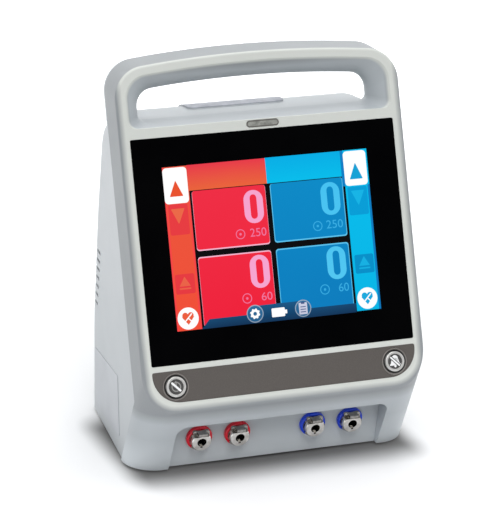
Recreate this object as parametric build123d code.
from build123d import *
from math import atan2, cos, pi, radians, sin, sqrt, tan
import os

# A bedside tourniquet system: a wedge-shaped housing with a leaning touch display, a carrying handle over it,
# two push buttons in a strip below it and four hose couplings in a recess of the skirt.
# It is drawn with the lower edge of the face at y = 0 and the feet on z = 0, X to the right, Y to the rear.
# When it is written it is moved forward by half its depth, so its origin is the middle of its footprint.

# Housing, seen from the side
width = 236.0
face_lean = 16.5
face_edge_height = 59.5
skirt_setback = 35.0
seam_setback = 68.0
seam_knee_rise = 2.5
band_depth = 29.0
rear_depth = 210.4
rear_low_height = 85.0
rear_low_y = 203.6
rear_high_height = 182.0
rear_high_y = 178.6
rear_top_y = 146.6
rear_top_round = 40.0
rear_back_round = 150.0
foot_height = 2.5

# Housing, seen from the front and from above
crown_radius = 900.0
shoulder_round = 26.0
skirt_round = 24.5
taper_start = 55.0
rear_narrowing = 17.6
taper_round = 300.0
rear_side_round = 20.0
wall = 3.0
face_wall = 4.0
face_edge_round = 2.0

# Handle opening, measured along the face
glass_top_frame = 8.0
opening_height = 46.5
grip_frame = 6.7
side_frame = 8.3
opening_shoulder = 18.5
opening_foot_round = 7.0
narrow_depth = 20.0
grip_side_depth = 13.6
grip_top_depth = 16.2
narrow_shoulder = 14.0
rear_flare = 6.0
crown_flare = 3.0
grip_back = 6.0
grip_round = 4.0
grip_inner_round = 3.0
grip_hollow_start = 9.0

# Glass, display and what carries it
glass_side_frame = 8.5
glass_height = 176.5
glass_bottom_frame = 4.6
glass_thickness = 2.0
glass_corner = 1.5
gasket_thickness = 0.5
gasket_band = 6.0
seat_gap = 0.15
screen_width = 170.9
screen_height = 128.2
screen_lift = 1.45
window_margin = 3.0
module_side_border = 14.3
module_top_border = 10.4
module_thickness = 9.0
panel_side_border = 6.05
panel_top_border = 4.9
panel_thickness = 2.0
bracket_side_gap = 6.0
bracket_border = 4.5
bracket_thickness = 1.2
bracket_gap = 0.2
bracket_corner = 4.0
bracket_window = 60.0
bracket_window_x = 42.0
bracket_boss_inset = 11.5
bracket_boss_radius = 3.6
board_width = 180.0
board_height = 120.0
board_thickness = 1.6
board_corner = 2.0
standoff_length = 6.0
inner_screw_length = 5.0
standoff_radius = 2.8
standoff_inset = 8.0

# Strip, buttons and status lens
strip_low = 8.2
strip_high = 32.9
strip_low_round = 22.0
strip_top_round = 1.5
strip_thickness = 1.5
button_inset = 18.1
button_radius = 8.0
button_length = 5.0
button_proud = 1.6
button_dish = 0.5
button_rim = 1.6
button_stem_radius = 3.0
button_edge_round = 0.6
button_travel = 0.8
well_wall = 2.65
well_play = 0.2
well_back = 3.0
well_lip = 1.0
switch_board_height = 20.0
switch_board_depth = 13.0
switch_size = 6.0
switch_height = 3.2
switch_gap = 0.1
switch_post_inset = 19.6
switch_post_x = 25.0
post_radius = 3.0
lens_width = 26.8
lens_height = 5.4
lens_drop = 3.4
lens_thickness = 1.5
lens_proud = 0.3
lens_guide_width = 18.0
lens_guide_height = 2.6
lens_guide_length = 3.5
status_board_width = 30.0
status_board_height = 5.0
status_board_drop = 2.0
status_board_thickness = 1.0
status_led_count = 5
status_led_pitch = 3.4
status_led_size = 2.0
status_led_height = 0.8
status_led_gap = 0.4
status_post_x = 12.5
status_post_radius = 1.5

# Recess with the hose couplings
recess_lean = 16.0
recess_setback = 40.8
recess_end = 29.0
recess_height = 50.0
recess_round = 9.0
port_spacing = 32.0
port_rise = 26.5
ring_wall = 2.05
ring_room = 0.2
ring_base = 1.2
ring_height = 3.4
ring_round = 1.3
shank_radius = 6.0
shank_play = 0.1
flange_radius = 8.5
flange_thickness = 2.3
neck_radius = 5.2
latch_gap = 0.1
latch_thickness = 2.0
latch_half_width = 7.0
latch_corner = 2.0
latch_low = 7.6
latch_high = 8.9
latch_travel = 1.5
tab_half_width = 3.6
tab_thickness = 2.2
tab_length = 4.9
nose_radius = 8.2
nose_length = 3.2
nose_flat = 5.0
nose_chamfer = 0.6
socket_radius = 3.7
socket_depth = 9.0
key_width = 2.0
key_depth = 1.5
flow_radius = 1.5
shank_length = 12.0
tail_radius = 2.5
tail_length = 12.0
washer_thickness = 1.0
washer_radius = 9.0
nut_flats = 17.0
nut_thickness = 4.0
hose_wall = 1.0
hose_fit = 0.05
hose_bend = 25.0
hose_reach = 6.0

# Valve manifold and pumps
manifold_front = 92.0
manifold_depth = 22.0
manifold_height = 26.0
manifold_end = 11.0
manifold_leg = 12.0
barb_length = 12.0
short_barb_length = 6.0
drilling_depth = 10.0
valve_width = 15.0
valve_depth = 20.0
valve_height = 12.0
coil_height = 22.0
coil_inset = 1.0
coil_round = 2.0
pump_x = 24.0
pump_y = 144.0
pump_size = 30.0
pump_round = 3.0
pump_port_rise = 22.0
motor_inset = 1.5
motor_length = 30.0
motor_wall = 1.2
shaft_radius = 1.5
running_play = 0.05
core_radius = 9.0
core_length = 18.0
cam_radius = 6.0
cam_offset = 1.5
cam_length = 6.0
shaft_stub = 3.0
port_drilling = 4.0
cavity_radius = 9.0
cavity_length = 8.0
isolator_height = 8.0
isolator_radius = 5.0
isolator_waist = 1.2
isolator_end_inset = 8.0
isolator_side_inset = 7.0
pump_plate_gap = 6.0
pump_plate_depth = 36.0
pump_plate_thickness = 1.6

# Base plate, feet and screws
plate_thickness = 2.5
plate_gap = 0.3
foot_radius = 9.0
foot_stem_radius = 3.0
foot_front_inset = 32.0
foot_front_y = 66.0
foot_rear_inset = 40.0
foot_rear_y = 182.0
foot_head_radius = 4.5
foot_head_height = 1.5
boss_radius = 5.0
boss_height = 10.5
boss_bite = 0.8
boss_front_bite = 0.3
boss_front_y = 57.0
boss_middle_y = 108.0
boss_rear_y = 190.0
screw_radius = 1.5
screw_head_radius = 3.2
screw_head_height = 1.8
screw_length = 11.0
screw_play = 0.06
grip_screw_rise = 11.1
grip_boss_radius = 5.0
grip_screw_length = 13.0
cross_width = 0.9

# Shelf, power supply, battery and speaker
shelf_clearance = 8.3
shelf_side_gap = 26.0
shelf_front = 88.0
shelf_depth = 88.0
shelf_thickness = 1.5
sheet_round = 3.0
shelf_leg_front = 116.0
shelf_leg_depth = 46.0
shelf_foot = 8.0
supply_width = 110.0
supply_depth = 75.0
supply_x = 20.0
supply_y = 130.0
supply_stand = 4.0
supply_screw_x = 50.0
supply_screw_y = 33.0
battery_end_gap = 5.0
battery_depth = 24.0
battery_height = 52.0
battery_y = 177.5
battery_round = 3.0
tray_wall = 1.2
tray_height = 18.0
speaker_radius = 18.0
speaker_depth = 12.0
speaker_ahead = 16.5
magnet_radius = 9.0
magnet_depth = 5.0
cone_depth = 4.0

# Side vents and labels
vent_count = 7
vent_pitch = 7.9
vent_height = 3.0
vent_length = 32.0
vent_low = 98.5
vent_low_front = 170.1
vent_stagger = 2.6
label_length = 104.0
label_height = 50.0
label_corner = 2.0
label_thickness = 0.4
label_front_y = 82.0
label_middle = 36.0
label_tilt = 4.8
plate_label_width = 78.0
plate_label_height = 26.0
plate_label_rise = 55.0
pad_x = -4.5
pad_width = 82.0
pad_depth = 30.0
pad_height = 1.4
pad_y = 125.0
pad_round = 6.0

# Back: fan, mains inlet, earth post and pole clamp
fan_inset = 38.4
fan_rise = 36.0
fan_size = 40.0
fan_corner = 2.0
fan_thickness = 10.0
fan_rim = 1.2
fan_hub = 9.0
fan_blade_count = 7
fan_tip_gap = 1.0
fan_blade_thickness = 1.2
fan_blade_pitch = 35.0
fan_strut = 2.5
fan_post_inset = 4.0
fan_post_radius = 1.9
fan_pin_radius = 1.5
fan_base_thickness = 1.5
fan_strut_count = 3
fan_gap = 0.5
fan_blade_short = 0.1
grille_slot = 3.0
grille_pitch = 5.5
grille_count = 7
inlet_inset = 38.4
inlet_rise = 38.0
inlet_flange_side = 3.0
inlet_flange_end = 9.0
inlet_flange_thickness = 2.6
inlet_body_width = 28.0
inlet_body_height = 34.0
inlet_body_depth = 24.0
inlet_screw_inset = 4.5
inlet_screw_length = 6.0
socket_width = 24.2
socket_height = 16.4
socket_round = 2.0
socket_drop = 6.5
mains_depth = 17.0
pin_width = 2.0
pin_height = 4.0
pin_length = 15.5
pin_spread = 7.0
earth_rise = 4.0
pin_tab = 8.0
drawer_width = 20.0
drawer_height = 8.0
drawer_length = 19.0
drawer_rise = 9.5
drawer_play = 0.3
drawer_front_grow = 1.5
drawer_front_thickness = 2.0
fuse_radius = 2.5
fuse_length = 16.0
fuse_spread = 4.8
earth_post_x = 22.0
earth_post_rise = 30.0
earth_post_radius = 3.0
earth_post_length = 16.0
earth_collar_grow = 2.0
earth_collar_thickness = 1.5
plinth_border = 4.0
plinth_height = 64.0
plinth_drop = 14.0
plinth_gap = 1.0
plinth_round = 4.0
clamp_plate_wing = 11.0
clamp_plate_height = 52.0
clamp_plate_thickness = 8.0
clamp_arm_height = 34.0
clamp_arm_thickness = 16.0
clamp_arm_reach = 44.0
clamp_mouth = 46.0
clamp_round = 6.0
pole_out = 30.0
vee_depth = 7.0
vee_half = 8.0
screw_shaft_radius = 5.0
clamp_open_travel = 20.0
jaw_thickness = 8.0
jaw_height = 28.0
jaw_depth = 26.0
jaw_corner = 2.0
jaw_gap = 0.5
jaw_play = 0.1
jaw_floor = 2.0
jaw_pad_thickness = 2.0
jaw_pad_inset = 1.0
knob_radius = 19.0
knob_length = 18.0
knob_lobes = 6
knob_lobe_radius = 6.5
knob_gap = 2.0
clamp_bolt_radius = 2.5
clamp_bolt_head = 4.5
clamp_bolt_head_height = 3.5
clamp_bolt_length = 18.0
clamp_bolt_side_inset = 5.5
clamp_bolt_end_inset = 7.0

# Parts on the main board and on the supply board: place, size and height
chips = [
    (-40, 20, 31, 31, 2.4),
    (10, 25, 22, 16, 1.8),
    (10, -5, 14, 14, 1.6),
    (-42, -22, 20, 12, 1.8),
    (45, 30, 12, 9, 2.0),
]
sockets = [
    (-52, 51, 24, 6, 7),
    (-10, 52, 40, 5, 6),
    (44, 52, 30, 6, 7),
    (74, -20, 8, 24, 8),
    (-74, -10, 8, 30, 7),
]
sensors = [(35, -35), (35, -15), (55, -35), (55, -15)]
sensor_size = 11.0
sensor_height = 5.0
sensor_port_radius = 1.5
sensor_port_length = 5.0
supply_blocks = [(-35, 8, 32, 30, 26), (5, 20, 24, 18, 20), (34, -26, 36, 4, 28), (-20, -28, 30, 8, 12)]
supply_cans = [(10, -10, 9, 26), (36, 2, 6, 22), (47, 14, 6, 22)]

# Values that follow from the sizes
half_width = width / 2
rear_half_width = half_width - rear_narrowing
opening_half = half_width - side_frame
glass_low = strip_high + glass_bottom_frame
opening_floor = glass_low + glass_height + glass_top_frame
opening_crown = opening_floor + opening_height
crown_length = opening_crown + grip_frame
narrow_half = opening_half - grip_side_depth
narrow_crown = opening_crown - grip_top_depth
strip_half = half_width - side_frame
glass_width = width - 2 * glass_side_frame
bracket_width = width - 2 * bracket_side_gap
bracket_boss_x = half_width - bracket_boss_inset
screen_middle = glass_low + glass_height / 2 + screen_lift
module_width = screen_width + 2 * module_side_border
module_height = screen_height + 2 * module_top_border
panel_width = screen_width + 2 * panel_side_border
panel_height = screen_height + 2 * panel_top_border
bracket_height = module_height + 2 * bracket_border
bracket_boss_rise = bracket_height / 2 - bracket_corner - screw_radius
standoff_x = board_width / 2 - standoff_inset
standoff_rise = board_height / 2 - standoff_inset
button_rise = (strip_low + strip_high) / 2
lens_rise = opening_floor - lens_drop
well_radius = button_radius + well_wall
ring_inner = flange_radius + ring_room
ring_radius = ring_inner + ring_wall
button_x = strip_half - button_inset
switch_post_end = button_x - switch_post_inset
recess_width = width - 2 * recess_end
foot_front_x = half_width - foot_front_inset
foot_rear_x = half_width - foot_rear_inset
shelf_half_width = half_width - shelf_side_gap
fan_x = fan_inset - rear_half_width
inlet_x = rear_half_width - inlet_inset
battery_width = 2 * (-fan_x - fan_size / 2 - battery_end_gap)
motor_radius = pump_size / 2 - motor_inset
pump_plate_width = 2 * (shelf_half_width - pump_plate_gap)
isolator_x = pump_plate_width / 2 - isolator_end_inset
isolator_y = pump_plate_depth / 2 - isolator_side_inset
manifold_width = 2 * (2 * port_spacing + manifold_end)
speaker_y = vent_low_front - speaker_ahead
speaker_height = vent_low + (vent_count - 1) / 2 * vent_pitch
fan_bore = fan_size / 2 - fan_rim
fan_blade_reach = fan_bore - fan_tip_gap
fan_blade_width = fan_thickness - fan_base_thickness - 2 * fan_gap - fan_blade_short
fan_pitch = fan_size - 2 * fan_post_inset
inlet_flange_width = inlet_body_width + 2 * inlet_flange_side
inlet_flange_height = inlet_body_height + 2 * inlet_flange_end
inlet_screw_rise = inlet_flange_height / 2 - inlet_screw_inset
clamp_plate_width = clamp_mouth + 2 * clamp_arm_thickness + 2 * clamp_plate_wing
clamp_bolt_x = clamp_plate_width / 2 - clamp_bolt_side_inset
clamp_bolt_rise = clamp_plate_height / 2 - clamp_bolt_end_inset
plinth_width = clamp_plate_width + 2 * plinth_border
plinth_high = rear_high_height - plinth_drop
plinth_low = plinth_high - plinth_height
jaw_bore = screw_shaft_radius + jaw_play
knob_stand = clamp_open_travel + knob_gap
lean = radians(face_lean)
base_z = foot_height
floor_z = base_z + plate_thickness
edge_z = base_z + face_edge_height
recess_turn = radians(recess_lean)
taper_turn = atan2(half_width - rear_half_width, rear_depth - taper_start)
rear_turn = atan2(rear_depth - rear_low_y, rear_low_height)
seam_knee_z = edge_z + seam_knee_rise
opening_floor_z = edge_z + opening_floor * cos(lean)
grip_screw_z = opening_floor_z + grip_screw_rise
rear_top_z = opening_floor_z
clamp_face_y = rear_depth + plinth_gap
total_depth = clamp_face_y + clamp_plate_thickness + clamp_arm_reach
crown_z = edge_z + crown_length * cos(lean)
low = Align.MIN
mid = Align.CENTER


def face_y(z):
    """The face's place along Y at height z."""
    return (z - edge_z) * tan(lean)


def seam_y(z):
    """The seam's place along Y at height z."""
    knee_y = band_depth + face_y(seam_knee_z)
    if z >= seam_knee_z:
        return band_depth + face_y(z)
    return seam_setback + (knee_y - seam_setback) * (z - base_z) / (seam_knee_z - base_z)


def side_x(y):
    """Half the width of the rear housing at the depth y."""
    return half_width - max(0.0, y - taper_start) * tan(taper_turn)


def face_at(depth):
    """A plane that is parallel to the face and lies behind it, measured along Y."""
    return Plane(origin=(0, depth, edge_z), x_dir=(1, 0, 0), z_dir=(0, -cos(lean), sin(lean)))


face = face_at(0)
recess = Plane(
    origin=(0, recess_setback, base_z),
    x_dir=(1, 0, 0),
    z_dir=(0, -cos(recess_turn), -sin(recess_turn)),
)
back = Plane(origin=(0, rear_depth, base_z), x_dir=(-1, 0, 0), z_dir=(0, cos(rear_turn), sin(rear_turn)))
left_side = Plane(
    origin=(-half_width, taper_start, base_z),
    x_dir=(-sin(taper_turn), -cos(taper_turn), 0),
    z_dir=(-cos(taper_turn), sin(taper_turn), 0),
)
nodes = {}


def rod(plane, radius, start, end, x=0.0, y=0.0):
    """A round bar square to a plane, between two distances from it."""
    return plane * Pos(x, y, start) * Cylinder(radius, end - start, align=(mid, mid, low))


def pipe(plane, outer, inner, start, end, x=0.0, y=0.0):
    """A round tube square to a plane, between two distances from it."""
    return rod(plane, outer, start, end, x, y) - rod(plane, inner, start - 1, end + 1, x, y)


def slab(plane, wide, high, start, end, x=0.0, y=0.0, corner=0.0):
    """A rectangular block on a plane, with its four corners rounded where a corner is given."""
    shape = Rectangle(wide, high)
    if corner > 0:
        shape = fillet(shape.vertices(), corner)
    return extrude(plane * Pos(x, y, start) * shape, amount=end - start)


def box(wide, deep, high, x, y, z):
    """An upright block: its middle in X and Y, and its lowest height."""
    return Pos(x, y, z) * Box(wide, deep, high, align=(mid, mid, low))


def inset_polygon(points, insets):
    """Move each edge of a counter-clockwise polygon inwards by its own amount."""
    moved = []
    for start, end, inset in zip(points, points[1:] + points[:1], insets):
        along = (Vector(*end) - Vector(*start)).normalized()
        moved.append((Vector(*start) + Vector(-along.Y, along.X) * inset, along))
    corners = []
    for (point, along), (other, across) in zip(moved[-1:] + moved[:-1], moved):
        run = (other - point).cross(across).Z / along.cross(across).Z
        corners.append(point + along * run)
    return corners


def near(shape_list, places, reach):
    """The vertices or edges whose middle is close to one of the places."""
    return [item for item in shape_list if any((item.center() - place).length < reach for place in places)]


def arch(half, crown, floor, radius, shoulder, foot_round=0.0):
    """A flat shape with upright sides, a level floor and a gently curved top."""
    side = crown - radius + sqrt(radius**2 - half**2)
    corners = [(half, side), (half, floor), (-half, floor), (-half, side)]
    outline = make_face([Polyline(*corners), ThreePointArc(corners[3], (0, crown), corners[0])])
    outline = fillet(outline.vertices().group_by(Axis.Y)[-1], shoulder)
    if foot_round > 0:
        outline = fillet(outline.vertices().group_by(Axis.Y)[0], foot_round)
    return outline


def front_form(inset=0.0, face_inset=0.0, open_by=0.0):
    """The front housing's outer form, or the hollow inside it, which runs out at the base and the seam."""
    top_z = crown_z + wall
    profile = [
        (skirt_setback, base_z),
        (seam_setback, base_z),
        (seam_y(seam_knee_z), seam_knee_z),
        (seam_y(top_z), top_z),
        (face_y(top_z), top_z),
        (0, edge_z),
    ]
    points = inset_polygon(profile, [-open_by, -open_by, -open_by, 0, face_inset, inset])
    outline = arch(half_width - inset, crown_length - inset, -face_edge_height - band_depth,
                   crown_radius - inset, shoulder_round - inset)
    prism = extrude(face_at(-1) * outline, amount=seam_setback + band_depth, dir=(0, 1, 0))
    form = prism & extrude(Plane.YZ * make_face(Polyline(*points, close=True)), amount=width, both=True)
    middle = (points[5] + points[0]) / 2
    places = [Vector(side * (half_width - inset), middle.X, middle.Y) for side in (-1, 1)]
    return fillet(near(form.edges(), places, 0.5), skirt_round - inset)


def rear_form(inset=0.0, open_by=0.0):
    """The rear housing's outer form, or the hollow inside it, which runs out at the base and the seam."""
    profile = [
        (seam_setback, base_z),
        (rear_depth, base_z),
        (rear_low_y, base_z + rear_low_height),
        (rear_high_y, base_z + rear_high_height),
        (rear_top_y, rear_top_z),
        (seam_y(rear_top_z), rear_top_z),
        (seam_y(seam_knee_z), seam_knee_z),
    ]
    points = inset_polygon(profile, [-open_by, inset, inset, inset, inset, -open_by, -open_by])
    outline = make_face(Polyline(*points, close=True))
    for corner, radius in ((2, rear_back_round), (3, rear_back_round), (4, rear_top_round)):
        outline = fillet(near(outline.vertices(), [points[corner]], 0.01), radius - inset)
    far_y = rear_depth + band_depth
    plan = [(half_width, -1), (half_width, taper_start), (side_x(far_y), far_y)]
    plan += [(-x, y) for x, y in reversed(plan)]
    corners = inset_polygon(plan, [inset, inset, 0, inset, inset, 0])
    footprint = make_face(Polyline(*corners, close=True))
    footprint = fillet(near(footprint.vertices(), [corners[1], corners[4]], 0.01), taper_round)
    form = extrude(Plane.YZ * outline, amount=width, both=True)
    form &= extrude(footprint, amount=crown_z) + extrude(footprint, amount=-open_by - 1)
    return fillet(rear_side_edges(form, inset), rear_side_round - inset)


def rear_side_edges(form, inset):
    """The edges along which the rear housing's sides meet its top and back."""
    edges = []
    for surface in form.faces():
        if abs(surface.normal_at().X) < 0.9:
            continue
        for edge in surface.edges():
            middle = edge.center()
            upright = abs((edge @ 1 - edge @ 0).normalized().Z) > 0.9995
            behind_seam = middle.Y > seam_y(max(middle.Z, base_z)) + 3
            if behind_seam and middle.Z > base_z + 2 and not upright:
                edges.append(edge)
    return edges


def recess_form(grow=0.0):
    """The connector recess, or the same with walls round it: it runs out through the skirt and the base."""
    high = recess_height + grow
    shape = Pos(0, (high - recess_height) / 2) * Rectangle(recess_width + 2 * grow, high + recess_height)
    shape = fillet(shape.vertices().group_by(Axis.Y)[-1], recess_round + grow)
    return extrude(recess * Pos(0, 0, -grow) * shape, amount=recess_height + grow)


def opening_form(grow=0.0):
    """The space inside the handle: it narrows in a smooth curve towards the grip, then widens again."""
    sections = []
    for share in (0.0, 0.35, 0.7, 1.0):
        shrink = sin(share * pi / 2)
        half = opening_half + (narrow_half - opening_half) * shrink
        crown = opening_crown + (narrow_crown - opening_crown) * shrink
        shoulder = opening_shoulder + (narrow_shoulder - opening_shoulder) * shrink
        shape = opening_section(half + grow, crown + grow, shoulder + grow, grow)
        sections.append(face_at(share * narrow_depth) * shape)
    for share in (0.35, 0.7, 1.0):
        swell = 1 - cos(share * pi / 2)
        half = narrow_half + rear_flare * swell
        crown = narrow_crown + crown_flare * swell
        shape = opening_section(half + grow, crown + grow, narrow_shoulder + rear_flare * swell + grow, grow)
        depth = narrow_depth + share * (band_depth + grip_back - narrow_depth)
        sections.append(face_at(depth) * shape)
    ahead = extrude(sections[0], amount=wall, dir=(0, -1, 0))
    behind = extrude(sections[-1], amount=band_depth, dir=(0, 1, 0))
    return loft(sections) + ahead + behind


def opening_section(half, crown, shoulder, grow):
    """The opening's outline at one depth, with a level floor."""
    return arch(half, crown, opening_floor - grow, crown_radius, shoulder, opening_foot_round + grow)


def strip_shape(grow=0.0):
    """The dark strip's outline, with large lower corners that follow the face's own."""
    high = strip_high - strip_low + 2 * grow
    shape = Pos(0, (strip_high + strip_low) / 2) * Rectangle(2 * (strip_half + grow), high)
    shape = fillet(shape.vertices().group_by(Axis.Y)[0], strip_low_round + grow)
    return fillet(shape.vertices().group_by(Axis.Y)[-1], strip_top_round + grow)


def pill(wide, high):
    """A flat slot shape with round ends."""
    return SlotOverall(wide, high)


def save(name, *shapes):
    """Keep a node's solids, moved to the part's own origin."""
    solids = [solid for shape in shapes for solid in shape.solids()]
    nodes[name] = [Pos(0, -total_depth / 2, 0) * solid for solid in solids]


# Places that several pieces share
glass_middle = glass_low + glass_height / 2
glass_floor = -glass_thickness - gasket_thickness
module_front = -face_wall - seat_gap
module_back = module_front - module_thickness
bracket_front = module_back - bracket_gap
bracket_back = bracket_front - bracket_thickness
main_board_front = bracket_back - standoff_length
main_board_back = main_board_front - board_thickness
bracket_holes = [(x * bracket_boss_x, screen_middle + y * bracket_boss_rise)
                 for x in (-1, 1) for y in (-1, 1)]
standoffs = [(x * standoff_x, screen_middle + y * standoff_rise) for x in (-1, 1) for y in (-1, 1)]
ports = [-2 * port_spacing, -port_spacing, port_spacing, 2 * port_spacing]
buttons = [-button_x, button_x]
switch_posts = [-switch_post_end, -switch_post_x, switch_post_x, switch_post_end]
base_screw_places = [
    (side * (side_x(y) - wall - boss_radius + bite), y)
    for y, bite in ((boss_front_y, boss_front_bite), (boss_middle_y, boss_bite), (boss_rear_y, boss_bite))
    for side in (-1, 1)
]
foot_places = [(side * x, y) for x, y in ((foot_front_x, foot_front_y), (foot_rear_x, foot_rear_y))
               for side in (-1, 1)]
grip_screw_x = narrow_half + rear_flare + wall + grip_boss_radius - boss_bite
latch_start = ring_base + flange_thickness + latch_gap
latch_end = latch_start + latch_thickness
nose_start = latch_end + latch_gap
nose_end = nose_start + nose_length
tail_start = -shank_length
tail_end = tail_start - tail_length
hose_turn = recess.from_local_coords(Vector(0, port_rise, tail_end - hose_reach))
port_z = hose_turn.Z
manifold_low = port_z - manifold_height / 2
manifold_top = manifold_low + manifold_height
manifold_rear = manifold_front + manifold_depth
shelf_z = manifold_top + valve_height + coil_height + shelf_clearance
pump_low = floor_z + isolator_height + pump_plate_thickness
pump_z = pump_low + pump_size / 2
pump_port_z = pump_low + pump_port_rise
pump_places = [-pump_x, pump_x]
isolators = [(x * isolator_x, pump_y + y * isolator_y) for x in (-1, 1) for y in (-1, 1)]
supply_z = shelf_z + shelf_thickness + supply_stand
supply_screws = [(supply_x + x * supply_screw_x, supply_y + y * supply_screw_y) for x in (-1, 1)
                 for y in (-1, 1)]
switch_board_front = -switch_board_depth
stem_end = switch_board_front + switch_height + button_travel + switch_gap
lens_guide_end = -lens_thickness - lens_guide_length
status_board_front = lens_guide_end - status_led_gap - status_led_height
status_board_rise = lens_rise - status_board_drop
fan_plane = Plane(back * Pos(-fan_x, fan_rise, -wall - fan_thickness))
fan_corners = [(x * fan_pitch / 2, y * fan_pitch / 2) for x in (-1, 1) for y in (-1, 1)]
inlet_plane = Plane(back * Pos(-inlet_x, inlet_rise, 0))
drawer_plane = Plane(inlet_plane * Pos(0, drawer_rise, 0))
pin_places = [(-pin_spread, -socket_drop), (pin_spread, -socket_drop), (0, earth_rise - socket_drop)]
clamp_middle_z = base_z + (plinth_low + plinth_high) / 2
clamp_plane = Plane(origin=(0, clamp_face_y, clamp_middle_z), x_dir=(-1, 0, 0), z_dir=(0, 1, 0))
clamp_bolt_places = [(x * clamp_bolt_x, y * clamp_bolt_rise) for x in (-1, 1) for y in (-1, 1)]
screw_axis = Plane(origin=clamp_plane.origin + Vector(0, pole_out, 0), x_dir=(0, 1, 0), z_dir=(1, 0, 0))
jaw_start = clamp_mouth / 2 - jaw_gap - jaw_thickness
knob_start = clamp_mouth / 2 + clamp_arm_thickness + knob_stand


def front_housing():
    """The face frame with the front of the handle, the skirt and the connector recess."""
    form = front_form()
    split_plane = Plane.XY.offset(opening_floor_z - wall)
    hollow = split(front_form(wall, face_wall, 1), bisect_by=split_plane, keep=Keep.BOTTOM)
    grip = split(front_form(wall, grip_hollow_start, 1), bisect_by=split_plane, keep=Keep.TOP)
    shell = form - hollow - (grip - opening_form(wall)) - opening_form()
    shell += recess_form(wall) & form
    shell -= recess_form()
    shell -= slab(face, glass_width + 2 * seat_gap, glass_height + 2 * seat_gap,
                  glass_floor, 1, 0, glass_middle, glass_corner)
    shell -= slab(face, screen_width + 2 * window_margin, screen_height + 2 * window_margin,
                  -face_wall - 1, 0, 0, screen_middle)
    shell -= extrude(face * Pos(0, 0, -strip_thickness) * strip_shape(seat_gap), amount=strip_thickness + 1)
    for x in buttons:
        shell -= rod(face, well_radius + seat_gap, -face_wall - 1, 1, x, button_rise)
    shell -= extrude(face * Pos(0, lens_rise, -lens_thickness) * pill(lens_width + 2 * seat_gap,
                     lens_height + 2 * seat_gap), amount=lens_thickness + 1)
    shell -= slab(face, lens_guide_width + 2 * seat_gap, lens_guide_height + 2 * seat_gap,
                  -face_wall - lens_thickness, 0, 0, lens_rise)
    for x in ports:
        shell -= rod(recess, shank_radius + shank_play, -wall - 1, 1, x, port_rise)
    for x, y in bracket_holes:
        shell += pipe(face, bracket_boss_radius, screw_radius + screw_play, bracket_front, -face_wall, x, y)
    for x in switch_posts:
        shell += pipe(face, post_radius, screw_radius + screw_play,
                      switch_board_front, -face_wall, x, button_rise)
    for side in (-1, 1):
        shell += rod(face, status_post_radius, status_board_front, -face_wall, side * status_post_x,
                     status_board_rise)
    for x, y in base_screw_places[:2]:
        shell += housing_boss(x, y) & form
        shell -= screw_hole(x, y)
    for side in (-1, 1):
        shell += grip_boss(side)
        shell -= grip_hole(side)
    return round_face_edge(shell)


def round_face_edge(shell):
    """Take the sharp edge off the outer border of the face."""
    outer = []
    for surface in shell.faces():
        level = surface.normal_at().dot(face.z_dir) > 1 - 1e-6
        if level and abs((surface.center() - face.origin).dot(face.z_dir)) < 1e-4:
            outer += surface.outer_wire().edges()
    return fillet([edge for edge in outer if on_border(edge)], face_edge_round)


def on_border(edge):
    """Whether an edge of the face lies on the housing's outer border."""
    place = face.to_local_coords(edge.center())
    return abs(place.X) > strip_half + 1 or place.Y > opening_crown + 1 or place.Y < strip_low - 1


def edges_at(shape, plane, depth):
    """The edges of a shape that lie at one distance from a plane."""
    return shape.edges().filter_by(lambda edge: abs(plane.to_local_coords(edge.center()).Z - depth) < 0.01)


def housing_boss(x, y):
    """A screw boss on the base plate, grown together with the side wall."""
    return rod(Plane.XY, boss_radius, floor_z, floor_z + boss_height, x, y)


def screw_hole(x, y):
    """The bore for a base screw."""
    return rod(Plane.XY, screw_radius + screw_play, 0, base_z + screw_length + 1, x, y)


def grip_screw_plane(side):
    """The rear of the handle at one of its screws, facing backwards."""
    origin = (side * grip_screw_x, seam_y(grip_screw_z) + grip_back, grip_screw_z)
    return Plane(origin=origin, x_dir=(1, 0, 0), z_dir=(0, 1, 0))


def grip_boss(side):
    """A boss in the handle's upright for the screw that joins the two housings there."""
    return rod(grip_screw_plane(side), grip_boss_radius, -grip_back - screw_length, -grip_back) & front_form()


def grip_hole(side):
    """The bore for a handle screw, with a seat for its head."""
    plane = grip_screw_plane(side)
    seat = rod(plane, screw_head_radius + seat_gap, -screw_head_height, grip_back)
    return seat + rod(plane, screw_radius + screw_play, -grip_back - screw_length + 1, 0)


def grip_loop():
    """The rear of the handle, a flat loop that closes the grip from behind."""
    outline = arch(half_width, crown_length, opening_floor - 2 * wall, crown_radius, shoulder_round)
    loop = extrude(face_at(band_depth) * outline, amount=grip_back, dir=(0, 1, 0))
    rear_plane = face_at(band_depth + grip_back)
    outer = [edge for edge in edges_at(loop, rear_plane, 0) if edge_rise(rear_plane, edge) > opening_floor]
    loop = fillet(outer, grip_round)
    known = [edge.center() for edge in edges_at(loop, rear_plane, 0)]
    loop -= opening_form()
    inner = [edge for edge in edges_at(loop, rear_plane, 0)
             if edge_rise(rear_plane, edge) > opening_floor - 1]
    inner = [edge for edge in inner
             if not any((edge.center() - place).length < 0.1 for place in known)]
    return fillet(inner, grip_inner_round)


def edge_rise(plane, edge):
    """How far up a plane an edge's middle lies."""
    return plane.to_local_coords(edge.center()).Y


def vent_cutter(step):
    """One cooling slot through both sides, which runs round the corner but not along the back."""
    front_y = vent_low_front - step * vent_stagger
    height = base_z + vent_low + step * vent_pitch
    shape = Pos(front_y + vent_length / 2, height) * SlotOverall(vent_length, vent_height)
    keep_half = side_x(front_y + vent_length) - rear_side_round
    cutter = extrude(Plane.YZ * shape, amount=width, both=True)
    return cutter - box(2 * keep_half, total_depth, crown_z, 0, total_depth / 2, 0)


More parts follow.
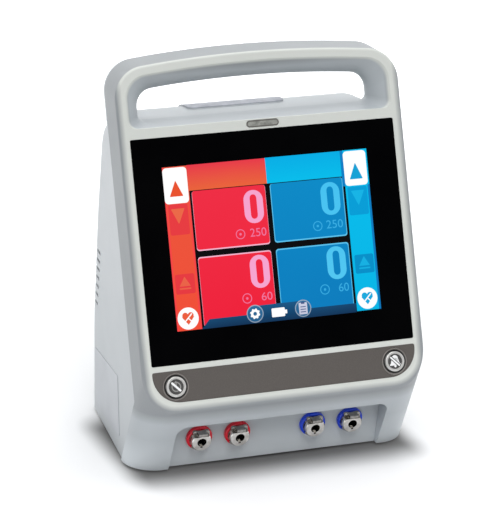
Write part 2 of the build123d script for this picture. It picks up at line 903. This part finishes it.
def grille_cutter(step):
    """One level slot in front of the fan, as long as the fan's bore leaves room for."""
    rise = (step - (grille_count - 1) / 2) * grille_pitch
    reach = sqrt(fan_bore**2 - rise**2) - 1
    shape = SlotOverall(2 * reach, grille_slot)
    return extrude(back * Pos(-fan_x, fan_rise + rise, -wall - 1) * shape, amount=wall + 2)


def plinth_block():
    """The pad on the back that the pole clamp is screwed to, with an upright face."""
    deep = clamp_face_y - rear_high_y + 2 * wall
    block = box(plinth_width, deep, plinth_high - plinth_low, 0, clamp_face_y - deep / 2, base_z + plinth_low)
    return fillet(block.edges().filter_by(Axis.Y), plinth_round)


def top_pad():
    """The low pad on top behind the handle, which follows the housing's own curve."""
    column = slab(Plane.XY, pad_width, pad_depth, rear_top_z - rear_top_round, crown_z,
                  pad_x, pad_y, pad_round)
    return rear_form(-pad_height) & column


def rear_housing():
    """The sides, the top and the back, with the rear of the handle."""
    form = rear_form()
    hollow = rear_form(wall, 1)
    shell = form + plinth_block() + top_pad() - hollow
    shell += grip_loop()
    for step in range(vent_count):
        shell -= vent_cutter(step)
    for step in range(grille_count):
        shell -= grille_cutter(step)
    shell -= slab(back, inlet_body_width + 2 * seat_gap, inlet_body_height + 2 * seat_gap,
                  -wall - 2, 1, -inlet_x, inlet_rise)
    shell -= rod(back, earth_post_radius + screw_play, -wall - 2, 1, -earth_post_x, earth_post_rise)
    for x, y in base_screw_places[2:]:
        shell += housing_boss(x, y)
        shell -= screw_hole(x, y)
    for x, y in fan_corners:
        shell += rod(fan_plane, fan_post_radius, 0, fan_thickness, x, y)
    for side in (-1, 1):
        shell -= rod(inlet_plane, screw_radius + screw_play, -wall - 1, 1, 0, side * inlet_screw_rise)
    for side in (-1, 1):
        shell -= grip_hole(side)
    for x, y in clamp_bolt_places:
        shell -= rod(clamp_plane, clamp_bolt_radius + screw_play,
                     clamp_plate_thickness - clamp_bolt_length, 1, x, y)
    return shell


def base_plate():
    """The pressed plate that closes the housing from below."""
    room = wall + plate_gap
    inside = front_form(room, face_wall + plate_gap) + rear_form(room, 2)
    layer = box(width, 2 * total_depth, plate_thickness, 0, 0, base_z)
    plate = (inside & layer) - recess_form(room)
    for x, y in base_screw_places:
        plate -= screw_hole(x, y)
    for x, y in foot_places:
        plate -= rod(Plane.XY, foot_stem_radius + screw_play, 0, floor_z + 1, x, y)
    return plate


def rubber_foot(x, y):
    """A foot with a stem that snaps through the base plate."""
    foot = rod(Plane.XY, foot_radius, 0, base_z, x, y)
    foot = chamfer(foot.edges().group_by(Axis.Z)[0], foot_height / 4)
    foot += rod(Plane.XY, foot_stem_radius, base_z, floor_z, x, y)
    return foot + rod(Plane.XY, foot_head_radius, floor_z, floor_z + foot_head_height, x, y)


def facing_down(z):
    """A plane at height z that faces down; its Y runs forwards."""
    return Plane(origin=(0, 0, z), x_dir=(1, 0, 0), z_dir=(0, 0, -1))


def facing_in(depth):
    """A plane behind the face that faces inwards; its X runs to the left."""
    return Plane(origin=face.origin + face.z_dir * depth, x_dir=(-1, 0, 0), z_dir=-face.z_dir)


def pan_screw(plane, x, y, length, radius=screw_radius, head=screw_head_radius, high=screw_head_height):
    """A screw with a round head on a plane, a cross recess in the head and its shank behind the plane."""
    screw = rod(plane, head, 0, high, x, y) + rod(plane, radius, -length, 0, x, y)
    screw -= slab(plane, head, cross_width, high / 2, high + 1, x, y)
    return screw - slab(plane, cross_width, head, high / 2, high + 1, x, y)


def display_bracket():
    """The folded steel plate that holds the display module against the face."""
    plate = slab(face, bracket_width, bracket_height, bracket_back, bracket_front,
                 0, screen_middle, bracket_corner)
    for x in (-1, 1):
        plate -= slab(face, bracket_window, bracket_window, bracket_back - 1, bracket_front + 1,
                      x * bracket_window_x, screen_middle, bracket_corner)
    for x, y in bracket_holes:
        plate -= rod(face, screw_radius + screw_play, bracket_back - 1, bracket_front + 1, x, y)
    for x, y in standoffs:
        plate += rod(face, standoff_radius, main_board_front, bracket_back, x, y)
        plate -= rod(face, screw_radius + screw_play, main_board_front - 1, bracket_back, x, y)
    return plate


def display_module():
    """The display's metal tray, with a pocket for the panel in its front."""
    tray = slab(face, module_width, module_height, module_back, module_front, 0, screen_middle, glass_corner)
    return tray - slab(face, panel_width, panel_height, module_front - panel_thickness, module_front + 1,
                       0, screen_middle)


def main_board():
    """The main circuit board, parallel to the face."""
    board = slab(face, board_width, board_height, main_board_back, main_board_front,
                 0, screen_middle, board_corner)
    for x, y in standoffs:
        board -= rod(face, screw_radius + screw_play, main_board_back - 1, main_board_front + 1, x, y)
    return board


def on_board(x, y, wide, high, thick):
    """A block soldered to the rear of the main board."""
    return slab(face, wide, high, main_board_back - thick, main_board_back, x, screen_middle + y)


def button_cap(x):
    """A round metal push button with a raised rim, a dished middle and a stem towards its switch."""
    top = button_proud
    cap = rod(face, button_radius, top - button_length, top, x, button_rise)
    cap = fillet(edges_at(cap, face, top), button_edge_round)
    cap -= rod(face, button_radius - button_rim, top - button_dish, top + 1, x, button_rise)
    return cap + rod(face, button_stem_radius, stem_end, top - button_length, x, button_rise)


def button_well(x):
    """The dark bush that a button slides in, with a sloping mouth and a lip that stops the cap."""
    floor = button_proud - button_length - button_travel - seat_gap
    well = rod(face, well_radius, -face_wall - well_back, 0, x, button_rise)
    well -= rod(face, button_radius + well_play, floor, 1, x, button_rise)
    well -= rod(face, button_stem_radius + well_play, -face_wall - well_back - 1, 1, x, button_rise)
    mouth = well_radius - well_lip - button_radius - well_play
    cone = Cone(button_radius + well_play, well_radius - well_lip, mouth, align=(mid, mid, low))
    return well - face * Pos(x, button_rise, -mouth) * cone


def button_strip():
    """The dark strip below the glass."""
    strip = extrude(face * Pos(0, 0, -strip_thickness) * strip_shape(), amount=strip_thickness)
    for x in buttons:
        strip -= rod(face, well_radius + seat_gap, -strip_thickness - 1, 1, x, button_rise)
    return strip


def status_lens():
    """The clear pill-shaped lens over the status lights, with a guide that goes through the face."""
    plane = face * Pos(0, lens_rise, -lens_thickness)
    lens = extrude(plane * SlotOverall(lens_width, lens_height), amount=lens_thickness + lens_proud)
    return lens + slab(face, lens_guide_width, lens_guide_height, -lens_thickness - lens_guide_length,
                       -lens_thickness, 0, lens_rise)


def port_ring(x):
    """A coloured collar between the recess wall and a coupling."""
    ring = rod(recess, ring_radius, 0, ring_height, x, port_rise)
    ring -= rod(recess, ring_inner, ring_base, ring_height + 1, x, port_rise)
    ring -= rod(recess, shank_radius + shank_play, -1, ring_height, x, port_rise)
    rim = edges_at(ring, recess, ring_height)
    return fillet(rim.sort_by(lambda edge: edge.length)[-1], ring_round)


def coupling_body(x):
    """The chrome body of a hose coupling: shank, flange, neck for the latch, nose, socket and hose tail."""
    body = rod(recess, shank_radius, tail_start, ring_base, x, port_rise)
    body += rod(recess, flange_radius, ring_base, ring_base + flange_thickness, x, port_rise)
    body += rod(recess, neck_radius, ring_base, nose_end, x, port_rise)
    nose = rod(recess, nose_radius, nose_start, nose_end, x, port_rise)
    nose = chamfer(edges_at(nose, recess, nose_end), nose_chamfer)
    nose -= slab(recess, 2 * nose_radius, nose_radius, nose_start - 1, nose_end + 1, x,
                 port_rise + nose_flat + nose_radius / 2)
    body += nose
    body -= rod(recess, socket_radius, nose_end - socket_depth, nose_end + 1, x, port_rise)
    body -= slab(recess, key_width, socket_radius + key_depth, nose_start, nose_end + 1, x,
                 port_rise - (socket_radius + key_depth) / 2)
    body += rod(recess, tail_radius, tail_end, tail_start, x, port_rise)
    return body - rod(recess, flow_radius, tail_end - 1, nose_end, x, port_rise)


def thumb_latch(x):
    """A coupling's latch: a plate that slides across the neck, with a thumb tab bent over the nose."""
    plane = recess * Pos(x, port_rise, latch_start)
    high = latch_high + latch_low
    shape = Pos(0, (latch_high - latch_low) / 2) * RectangleRounded(2 * latch_half_width, high, latch_corner)
    hole = neck_radius + latch_gap
    shape -= Circle(hole) + Pos(0, latch_travel) * Circle(hole)
    shape -= Pos(0, latch_travel / 2) * Rectangle(2 * hole, latch_travel)
    latch = extrude(plane * shape, amount=latch_thickness)
    return latch + slab(plane, 2 * tab_half_width, tab_thickness,
                        latch_thickness, latch_thickness + tab_length, 0, latch_high - tab_thickness / 2)


def coupling_washer(x):
    """The washer between a coupling's nut and the recess wall."""
    return pipe(recess, washer_radius, shank_radius + shank_play,
                -wall - washer_thickness, -wall, x, port_rise)


def tact_switch(x):
    """The switch behind a button."""
    return slab(face, switch_size, switch_size, switch_board_front, switch_board_front + switch_height,
                x, button_rise)


def coupling_nut(x):
    """The hexagonal nut that clamps a coupling to the recess wall from behind."""
    start = -wall - washer_thickness - nut_thickness
    shape = RegularPolygon(nut_flats / 2, 6, major_radius=False) - Circle(shank_radius + shank_play)
    return extrude(recess * Pos(x, port_rise, start) * shape, amount=nut_thickness)


def hose(points):
    """A hose along straight runs with smooth bends between them."""
    path = FilletPolyline(*points, radius=hose_bend) if len(points) > 2 else Line(*points)
    start = Plane(origin=path @ 0, z_dir=path % 0)
    inner = tail_radius + hose_fit
    return sweep(start * (Circle(inner + hose_wall) - Circle(inner)), path=path)


def supply_hose(x):
    """The hose from a coupling's tail to the valve manifold."""
    start = recess.from_local_coords(Vector(x, port_rise, tail_start))
    turn = hose_turn + Vector(x, 0, 0)
    end = Vector(x, manifold_front, port_z)
    return hose([start, turn, end])


def pump_hose(x):
    """The short hose from the manifold to a pump."""
    return hose([Vector(x, manifold_rear, pump_port_z), Vector(x, pump_y - pump_size / 2, pump_port_z)])


def manifold_port(plane, x, y, long):
    """A hose tail on the manifold and the drilling behind it."""
    tail = rod(plane, tail_radius, 0, long, x, y)
    return tail, rod(plane, flow_radius, -drilling_depth, long + 1, x, y)


def manifold_block():
    """The drilled block that shares the air out, on two legs, with hose tails front and rear."""
    middle = manifold_front + manifold_depth / 2
    block = box(manifold_width, manifold_depth, manifold_height, 0, middle, manifold_low)
    for side in (-1, 1):
        block += box(manifold_leg, manifold_depth, manifold_low - floor_z,
                     side * (manifold_width - manifold_leg) / 2, middle, floor_z)
    front_plane = Plane(origin=(0, manifold_front, 0), x_dir=(1, 0, 0), z_dir=(0, -1, 0))
    rear_plane = Plane(origin=(0, manifold_rear, 0), x_dir=(-1, 0, 0), z_dir=(0, 1, 0))
    tails = [manifold_port(front_plane, x, port_z, barb_length) for x in ports]
    tails += [manifold_port(rear_plane, -x, pump_port_z, short_barb_length) for x in pump_places]
    for tail, drilling in tails:
        block += tail
        block -= drilling
    return block


def valve(x):
    """A valve on the manifold: its body, and the coil on top of it."""
    middle = manifold_front + manifold_depth / 2
    body = box(valve_width, valve_depth, valve_height, x, middle, manifold_top)
    coil = box(valve_width - 2 * coil_inset, valve_depth - 2 * coil_inset, coil_height, x, middle,
               manifold_top + valve_height)
    return body, fillet(coil.edges().filter_by(Axis.Z), coil_round)


def pump_axis(x):
    """A plane in the middle of a pump head that faces along its motor's shaft."""
    return Plane(origin=(x, pump_y, pump_z), x_dir=(0, 1, 0), z_dir=(1 if x > 0 else -1, 0, 0))


def pump_head(x):
    """A diaphragm pump's head, with a chamber for the cam and one hose tail."""
    head = box(pump_size, pump_size, pump_size, x, pump_y, pump_low)
    head = fillet(head.edges().filter_by(Axis.Z), pump_round)
    plane = pump_axis(x)
    head -= rod(plane, cavity_radius, pump_size / 2 - cavity_length, pump_size / 2 + 1)
    port = Plane(origin=(x, pump_y - pump_size / 2, pump_port_z), x_dir=(1, 0, 0), z_dir=(0, -1, 0))
    head += rod(port, tail_radius, 0, short_barb_length)
    return head - rod(port, flow_radius, -port_drilling, short_barb_length + 1)


def pump_motor(x):
    """A pump's motor can, closed at both ends but for the shaft."""
    plane = pump_axis(x)
    start = pump_size / 2
    can = rod(plane, motor_radius, start, start + motor_length)
    can -= rod(plane, motor_radius - motor_wall, start + motor_wall, start + motor_length - motor_wall)
    return can - rod(plane, shaft_radius + running_play, start - 1, start + motor_length + 1)


def pump_rotor(x):
    """A pump's shaft with the motor's core and the cam that drives the diaphragm."""
    plane = pump_axis(x)
    start = pump_size / 2
    rotor = rod(plane, shaft_radius, start - cavity_length + 1, start + motor_length + shaft_stub)
    core_start = start + (motor_length - core_length) / 2
    rotor += rod(plane, core_radius, core_start, core_start + core_length)
    return rotor + rod(plane, cam_radius, start - cam_length - 1, start - 1, cam_offset)


def pump_plate():
    """The plate under the pumps, on four rubber isolators."""
    return slab(Plane.XY, pump_plate_width, pump_plate_depth, floor_z + isolator_height, pump_low,
                0, pump_y, sheet_round)


def isolator(x, y):
    """A waisted rubber isolator between the base plate and the pump plate."""
    post = rod(Plane.XY, isolator_radius, floor_z, floor_z + isolator_height, x, y)
    waist = Torus(isolator_radius + isolator_waist, 2 * isolator_waist)
    return post - Pos(x, y, floor_z + isolator_height / 2) * waist


def shelf():
    """The folded shelf that carries the power supply over the pumps, on two legs with feet."""
    top = shelf_z
    middle = shelf_front + shelf_depth / 2
    plate = slab(Plane.XY, 2 * shelf_half_width, shelf_depth, top, top + shelf_thickness,
                 0, middle, sheet_round)
    leg_middle = shelf_leg_front + shelf_leg_depth / 2
    for x, y in supply_screws:
        plate += rod(Plane.XY, standoff_radius, top, supply_z, x, y)
        plate -= rod(Plane.XY, screw_radius + screw_play, top - 1, supply_z + 1, x, y)
    for side in (-1, 1):
        leg_x = side * (shelf_half_width - shelf_thickness / 2)
        plate += box(shelf_thickness, shelf_leg_depth, top - floor_z, leg_x, leg_middle, floor_z)
        foot_x = side * (shelf_half_width + shelf_foot / 2 - shelf_thickness / 2)
        plate += box(shelf_foot, shelf_leg_depth, shelf_thickness, foot_x, leg_middle, floor_z)
    return plate


def supply_board():
    """The power supply's circuit board."""
    top = supply_z + board_thickness
    board = slab(Plane.XY, supply_width, supply_depth, supply_z, top, supply_x, supply_y, board_corner)
    for x, y in supply_screws:
        board -= rod(Plane.XY, screw_radius + screw_play, supply_z - 1, top + 1, x, y)
    return board


def supply_parts():
    """Transformer, choke, heat sink and capacitors on the power supply board."""
    top = supply_z + board_thickness
    parts = [box(wide, deep, high, supply_x + x, supply_y + y, top)
             for x, y, wide, deep, high in supply_blocks]
    return parts + [rod(Plane.XY, radius, top, top + high, supply_x + x, supply_y + y)
                    for x, y, radius, high in supply_cans]


def battery_tray():
    """An open tray that holds the battery on the base plate."""
    room = 2 * seat_gap
    outer = box(battery_width + room + 2 * tray_wall, battery_depth + room + 2 * tray_wall, tray_height,
                0, battery_y, floor_z)
    return outer - box(battery_width + room, battery_depth + room, tray_height,
                       0, battery_y, floor_z + tray_wall)


def battery_pack():
    """The shrink-wrapped battery."""
    pack = box(battery_width, battery_depth, battery_height, 0, battery_y, floor_z + tray_wall)
    return fillet(pack.edges().filter_by(Axis.Z), battery_round)


def speaker():
    """The alarm's loudspeaker behind the left side's slots."""
    x = -(speaker_y - taper_start) / cos(taper_turn)
    body = rod(left_side, speaker_radius, -wall - speaker_depth, -wall, x, speaker_height)
    cone = Cone(magnet_radius, speaker_radius - tray_wall, cone_depth, align=(mid, mid, low))
    body -= left_side * Pos(x, speaker_height, -wall - cone_depth) * cone
    return body + rod(left_side, magnet_radius, -wall - speaker_depth - magnet_depth,
                      -wall - speaker_depth, x, speaker_height)


def side_label():
    """The bare label low on the left side, tilted like the housing's lower lines."""
    x = -(label_front_y - taper_start) / cos(taper_turn) - label_length / 2
    shape = Rot(0, 0, label_tilt) * RectangleRounded(label_length, label_height, label_corner)
    return extrude(left_side * Pos(x, label_middle, 0) * shape, amount=label_thickness)


def fan_frame():
    """The fan's square frame with its bore, corner holes, hub base, struts and pin."""
    frame = slab(fan_plane, fan_size, fan_size, 0, fan_thickness, 0, 0, fan_corner)
    frame -= rod(fan_plane, fan_bore, -1, fan_thickness + 1)
    frame += rod(fan_plane, fan_hub, 0, fan_base_thickness)
    for step in range(fan_strut_count):
        strut = Pos(0, fan_bore / 2 + 1) * Rectangle(fan_strut, fan_bore)
        turned = Rot(0, 0, step * 360 / fan_strut_count) * strut
        frame += extrude(fan_plane * turned, amount=fan_base_thickness)
    frame += rod(fan_plane, fan_pin_radius, 0, fan_thickness - fan_base_thickness)
    for x, y in fan_corners:
        frame -= rod(fan_plane, fan_post_radius + seat_gap, -1, fan_thickness + 1, x, y)
    return frame


def fan_rotor():
    """The fan's hub with its pitched blades, on the frame's pin."""
    start = fan_base_thickness + fan_gap
    high = fan_thickness - start - fan_gap
    rotor = rod(fan_plane, fan_hub, start, start + high)
    blade_long = fan_blade_reach - fan_hub + 1
    blade = Rot(0, fan_blade_pitch, 0) * Box(fan_blade_thickness, blade_long, fan_blade_width)
    for step in range(fan_blade_count):
        turn = Rot(0, 0, step * 360 / fan_blade_count)
        rotor += fan_plane * turn * Pos(0, fan_blade_reach - blade_long / 2, start + high / 2) * blade
    rotor &= rod(fan_plane, fan_blade_reach, 0, fan_thickness)
    return rotor - rod(fan_plane, fan_pin_radius + running_play,
                       0, fan_thickness - fan_base_thickness + fan_gap)


def power_inlet():
    """The mains inlet: flange, body, socket and the fuse drawer's pocket above it."""
    plane = inlet_plane
    body = slab(plane, inlet_flange_width, inlet_flange_height, 0, inlet_flange_thickness, 0, 0, socket_round)
    body += slab(plane, inlet_body_width, inlet_body_height, -inlet_body_depth, 0)
    body -= slab(plane, socket_width, socket_height, -mains_depth, inlet_flange_thickness + 1,
                 0, -socket_drop, socket_round)
    body -= slab(plane, drawer_width + 2 * drawer_play, drawer_height + 2 * drawer_play,
                 -drawer_length - drawer_play, inlet_flange_thickness + 1, 0, drawer_rise)
    for x, y in pin_places:
        body -= slab(plane, pin_width, pin_height, -inlet_body_depth - 1, 0, x, y)
    for side in (-1, 1):
        body -= rod(plane, screw_radius + screw_play, -1, inlet_flange_thickness + 1,
                    0, side * inlet_screw_rise)
    return body


def inlet_pins():
    """The inlet's three flat pins, which run through to solder tabs inside."""
    start = -inlet_body_depth - pin_tab
    return [slab(inlet_plane, pin_width, pin_height, start, pin_length - mains_depth, x, y)
            for x, y in pin_places]


def fuse_drawer():
    """The drawer that holds the two fuses, with a lip to pull it by."""
    plane = drawer_plane
    front = inlet_flange_thickness + drawer_play
    drawer = slab(plane, drawer_width, drawer_height, -drawer_length, front)
    drawer += slab(plane, drawer_width + 2 * drawer_front_grow, drawer_height + 2 * drawer_front_grow, front,
                   front + drawer_front_thickness, 0, 0, drawer_front_grow)
    drawer -= slab(plane, drawer_width / 2, drawer_front_grow, front, front + drawer_front_thickness / 2, 0,
                   drawer_height / 2 + drawer_front_grow / 2)
    for x in (-1, 1):
        drawer -= rod(plane, fuse_radius + screw_play, -drawer_length - 1, fuse_length - drawer_length,
                      x * fuse_spread)
    return drawer


def fuses():
    """The two glass fuses in the drawer."""
    end = fuse_length - drawer_length
    return [rod(drawer_plane, fuse_radius, -drawer_length, end, x * fuse_spread) for x in (-1, 1)]


def earth_post():
    """The earth terminal: a pin with a collar outside and a nut inside the back."""
    x = -earth_post_x
    post = rod(back, earth_post_radius, -wall - nut_thickness, earth_post_length - wall - nut_thickness,
               x, earth_post_rise)
    collar = rod(back, earth_post_radius + earth_collar_grow, 0, earth_collar_thickness, x, earth_post_rise)
    nut = RegularPolygon(earth_post_radius + earth_collar_grow, 6, major_radius=False)
    nut -= Circle(earth_post_radius + screw_play)
    nut = extrude(back * Pos(x, earth_post_rise, -wall - nut_thickness) * nut, amount=nut_thickness)
    return [post + collar, nut]


def clamp_body():
    """The cast bracket on the back: a plate with two arms, one with a vee, one threaded for the screw."""
    plate = slab(clamp_plane, clamp_plate_width, clamp_plate_height, 0, clamp_plate_thickness,
                 0, 0, clamp_round)
    reach = clamp_plate_thickness + clamp_arm_reach
    for side in (-1, 1):
        x = side * (clamp_mouth + clamp_arm_thickness) / 2
        arm = slab(clamp_plane, clamp_arm_thickness, clamp_arm_height, clamp_plate_thickness / 2, reach, x)
        plate += fillet(edges_at(arm, clamp_plane, reach), clamp_round)
    vee = Polyline((clamp_mouth / 2 - 1, pole_out - vee_half), (clamp_mouth / 2 + vee_depth, pole_out),
                   (clamp_mouth / 2 - 1, pole_out + vee_half), close=True)
    vee_plane = Plane(origin=clamp_plane.origin, x_dir=clamp_plane.x_dir, z_dir=(0, 0, -1))
    plate -= extrude(vee_plane * make_face(vee), amount=clamp_arm_height, both=True)
    plate -= rod(screw_axis, screw_shaft_radius + running_play, 0, clamp_mouth)
    for x, y in clamp_bolt_places:
        plate -= rod(clamp_plane, clamp_bolt_radius + screw_play, -1, clamp_plate_thickness + 1, x, y)
    return plate


def clamp_jaw():
    """The sliding jaw at the screw's end."""
    plane = screw_axis * Pos(0, 0, jaw_start)
    jaw = slab(plane, jaw_depth, jaw_height, 0, jaw_thickness, 0, 0, jaw_corner)
    return jaw - rod(plane, jaw_bore, jaw_floor, jaw_thickness + 1)


def clamp_pad():
    """The rubber pad on the sliding jaw."""
    plane = screw_axis * Pos(0, 0, jaw_start)
    return slab(plane, jaw_depth - 2 * jaw_pad_inset, jaw_height - 2 * jaw_pad_inset, -jaw_pad_thickness, 0,
                0, 0, jaw_corner)


def clamp_screw():
    """The clamp's screw, from the jaw's socket out to the knob."""
    return rod(screw_axis, screw_shaft_radius, jaw_start + jaw_floor + running_play, knob_start)


def clamp_knob():
    """The lobed knob on the clamp's screw."""
    shape = Circle(knob_radius - knob_lobe_radius / 2)
    for place in PolarLocations(knob_radius - knob_lobe_radius, knob_lobes):
        shape += place * Circle(knob_lobe_radius)
    return extrude(screw_axis * Pos(0, 0, knob_start) * shape, amount=knob_length)


def touch_glass():
    """The touch glass, flush with the face."""
    return slab(face, glass_width, glass_height, -glass_thickness, 0, 0, glass_middle, glass_corner)


def glass_gasket():
    """The foam tape between the glass and its ledge."""
    wide = glass_width - 2
    high = glass_height - 2
    tape = slab(face, wide, high, glass_floor, -glass_thickness, 0, glass_middle)
    return tape - slab(face, wide - 2 * gasket_band, high - 2 * gasket_band,
                       glass_floor - 1, 1, 0, glass_middle)


def display_panel():
    """The display's glass panel, in its tray."""
    return slab(face, panel_width, panel_height, module_front - panel_thickness, module_front,
                0, screen_middle)


def switch_board():
    """The narrow circuit board behind the buttons."""
    board = slab(face, 2 * button_x + switch_board_height, switch_board_height,
                 switch_board_front - board_thickness, switch_board_front, 0, button_rise)
    for x in switch_posts:
        board -= rod(face, screw_radius + screw_play, switch_board_front - board_thickness - 1,
                     switch_board_front + 1, x, button_rise)
    return board


def status_board():
    """The small circuit board behind the status lens."""
    return slab(face, status_board_width, status_board_height, status_board_front - status_board_thickness,
                status_board_front, 0, status_board_rise)


def status_light(step):
    """One of the lights on the status board."""
    x = (step - (status_led_count - 1) / 2) * status_led_pitch
    return slab(face, status_led_size, status_led_size,
                status_board_front, status_board_front + status_led_height, x, status_board_rise)


def pressure_sensor(x, y):
    """A pressure sensor on the main board, with its hose port."""
    port = rod(face, sensor_port_radius, main_board_back - sensor_height - sensor_port_length,
               main_board_back - sensor_height, x, screen_middle + y)
    return on_board(x, y, sensor_size, sensor_size, sensor_height) + port


def rating_plate():
    """The bare plate on the back."""
    return slab(back, plate_label_width, plate_label_height, 0, label_thickness,
                0, plate_label_rise, label_corner)


case_screws = [pan_screw(facing_down(base_z), x, -y, screw_length) for x, y in base_screw_places]
case_screws += [pan_screw(grip_screw_plane(side).offset(-screw_head_height), 0, 0, grip_screw_length)
                for side in (-1, 1)]
inner_screws = [pan_screw(facing_in(bracket_back), -x, y, inner_screw_length) for x, y in bracket_holes]
inner_screws += [pan_screw(facing_in(main_board_back), -x, y, inner_screw_length) for x, y in standoffs]
switch_board_back = facing_in(switch_board_front - board_thickness)
inner_screws += [pan_screw(switch_board_back, x, button_rise, inner_screw_length) for x in switch_posts]
inner_screws += [pan_screw(Plane.XY.offset(supply_z + board_thickness), x, y, inner_screw_length)
                 for x, y in supply_screws]
inlet_flange = inlet_plane.offset(inlet_flange_thickness)
inner_screws += [pan_screw(inlet_flange, 0, side * inlet_screw_rise, inlet_screw_length) for side in (-1, 1)]
bolts = [pan_screw(clamp_plane.offset(clamp_plate_thickness), x, y, clamp_bolt_length, clamp_bolt_radius,
                   clamp_bolt_head, clamp_bolt_head_height) for x, y in clamp_bolt_places]
valves = [valve(x) for x in ports]

save("front_housing", front_housing())
save("rear_housing", rear_housing())
save("base_plate", base_plate())
save("rubber_feet", *[rubber_foot(x, y) for x, y in foot_places])
save("case_screws", *case_screws)
save("touch_glass", touch_glass())
save("glass_gasket", glass_gasket())
save("lcd_module", display_module())
save("lcd_panel", display_panel())
save("lcd_bracket", display_bracket())
save("inner_screws", *inner_screws)
save("main_board", main_board())
save("board_chips", *[on_board(*chip) for chip in chips])
save("board_connectors", *[on_board(*socket) for socket in sockets])
save("pressure_sensors", *[pressure_sensor(x, y) for x, y in sensors])
save("button_strip", button_strip())
save("button_wells", *[button_well(x) for x in buttons])
save("standby_button", button_cap(buttons[0]))
save("alarm_button", button_cap(buttons[1]))
save("control_boards", switch_board(), status_board())
status_lights = [status_light(step) for step in range(status_led_count)]
save("tact_switches", *[tact_switch(x) for x in buttons], *status_lights)
save("status_lens", status_lens())
save("port_rings_red", *[port_ring(x) for x in ports[:2]])
save("port_rings_blue", *[port_ring(x) for x in ports[2:]])
save("coupling_bodies", *[coupling_body(x) for x in ports])
for number, x in enumerate(ports, 1):
    save(f"coupling_latch_{number}", thumb_latch(x))
save("coupling_nuts", *[coupling_nut(x) for x in ports], *[coupling_washer(x) for x in ports])
save("air_hoses", *[supply_hose(x) for x in ports], *[pump_hose(x) for x in pump_places])
save("manifold_block", manifold_block())
save("valve_bodies", *[body for body, coil in valves])
save("valve_coils", *[coil for body, coil in valves])
save("pump_heads", *[pump_head(x) for x in pump_places])
save("pump_motors", *[pump_motor(x) for x in pump_places])
save("pump_rotor_left", pump_rotor(pump_places[0]))
save("pump_rotor_right", pump_rotor(pump_places[1]))
save("pump_plate", pump_plate())
save("pump_isolators", *[isolator(x, y) for x, y in isolators])
save("power_shelf", shelf())
save("supply_board", supply_board())
save("supply_parts", *supply_parts())
save("battery_pack", battery_pack())
save("battery_tray", battery_tray())
save("speaker", speaker())
save("fan_frame", fan_frame())
save("fan_rotor", fan_rotor())
save("power_inlet", power_inlet())
save("inlet_pins", *inlet_pins())
save("fuse_drawer", fuse_drawer())
save("fuses", *fuses())
save("earth_post", *earth_post())
save("clamp_body", clamp_body())
save("clamp_bolts", *bolts)
save("clamp_screw", clamp_screw())
save("clamp_knob", clamp_knob())
save("clamp_jaw", clamp_jaw())
save("jaw_pad", clamp_pad())
save("blank_labels", side_label(), rating_plate())

if __name__ == "__main__":
    os.makedirs("parts", exist_ok=True)
    for name, solids in nodes.items():
        export_step(Compound(solids), f"parts/{name}.step")
        print(name, len(solids))
